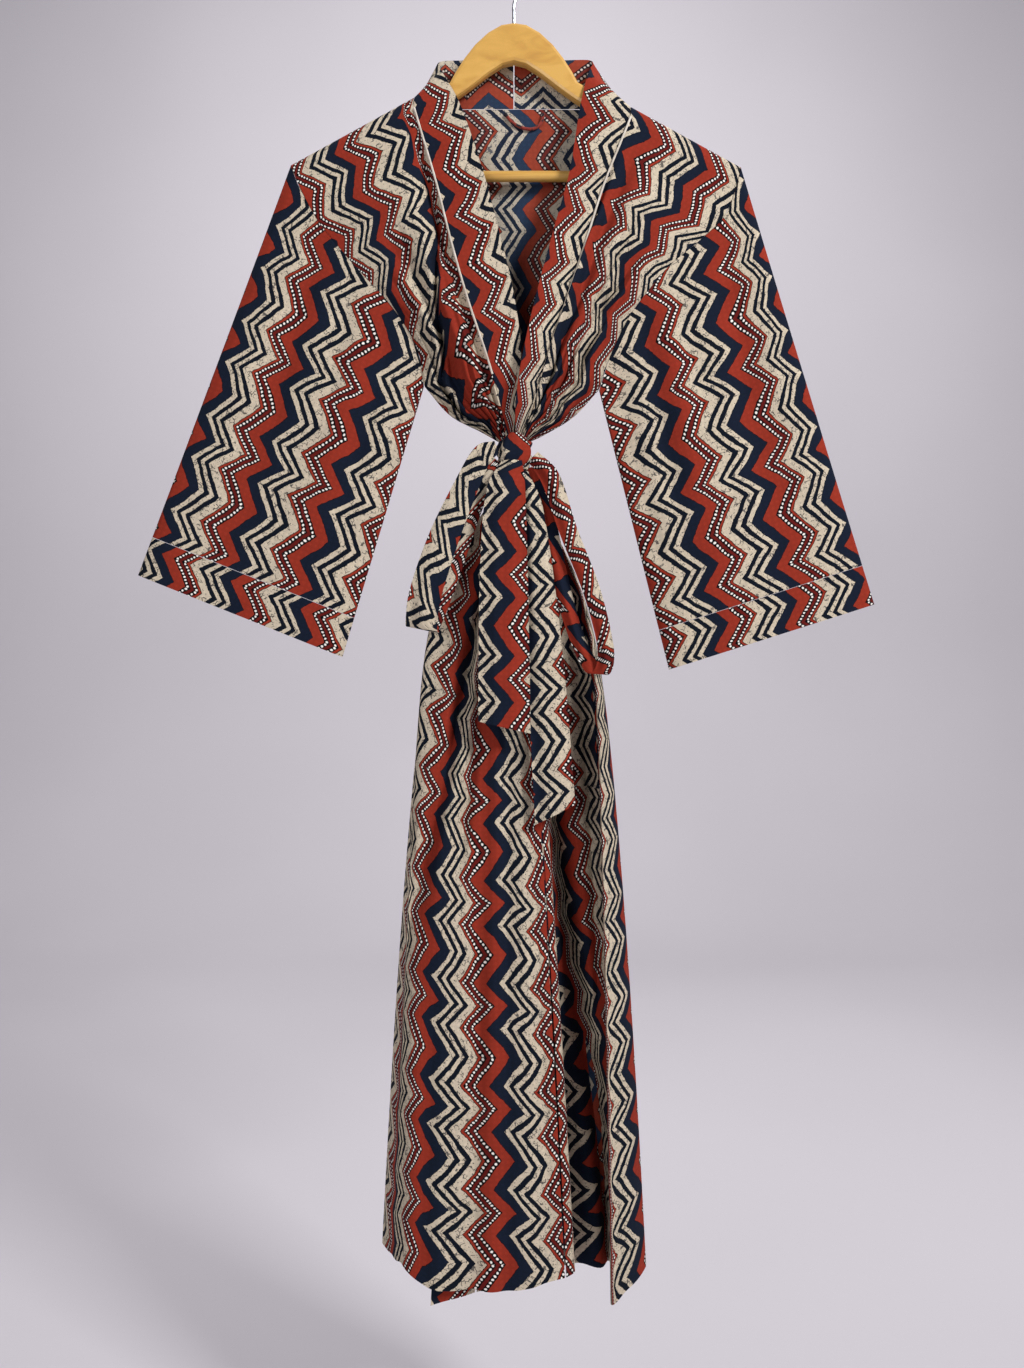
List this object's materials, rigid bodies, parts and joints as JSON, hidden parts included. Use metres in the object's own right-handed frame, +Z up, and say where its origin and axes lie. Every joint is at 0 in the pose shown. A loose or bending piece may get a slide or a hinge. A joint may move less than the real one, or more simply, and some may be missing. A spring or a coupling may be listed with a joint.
{
  "type": "kimono robe",
  "caption": "Long belted cotton wrap robe with wide sleeves and a collar band, hung on a flat wooden clothes hanger.",
  "frame": {"origin": "inside top of the hanger hook's bend, where it rests on a rail", "axes": "+Z up, front of the robe towards -Y, +X to the right as seen from the front"},
  "size_m": [0.7592, 0.1275, 1.3845],
  "materials": {
    "print_cotton": "matt printed cotton, rust, navy and beige zigzag stripes",
    "piping_cotton": "matt off-white cotton piping",
    "hanger_wood": "clear varnished pale wood",
    "hook_steel": "bright plated steel wire"
  },
  "bodies": {
    "root": {"back": "print_cotton", "front_left": "print_cotton", "front_right": "print_cotton", "sleeve_left": "print_cotton", "sleeve_right": "print_cotton", "cuff_left": "print_cotton", "cuff_right": "print_cotton", "collar_left": "print_cotton", "collar_right": "print_cotton", "neck_loop": "print_cotton", "pocket": "print_cotton", "belt_wrap": "print_cotton", "belt_knot": "print_cotton", "bow_left": "print_cotton", "bow_right": "print_cotton", "tail_front": "print_cotton", "tail_rear": "print_cotton", "piping_left": "piping_cotton", "piping_right": "piping_cotton", "hanger_body": "hanger_wood", "hanger_bar": "hanger_wood", "hanger_hook": "hook_steel"}
  },
  "joints": []
}
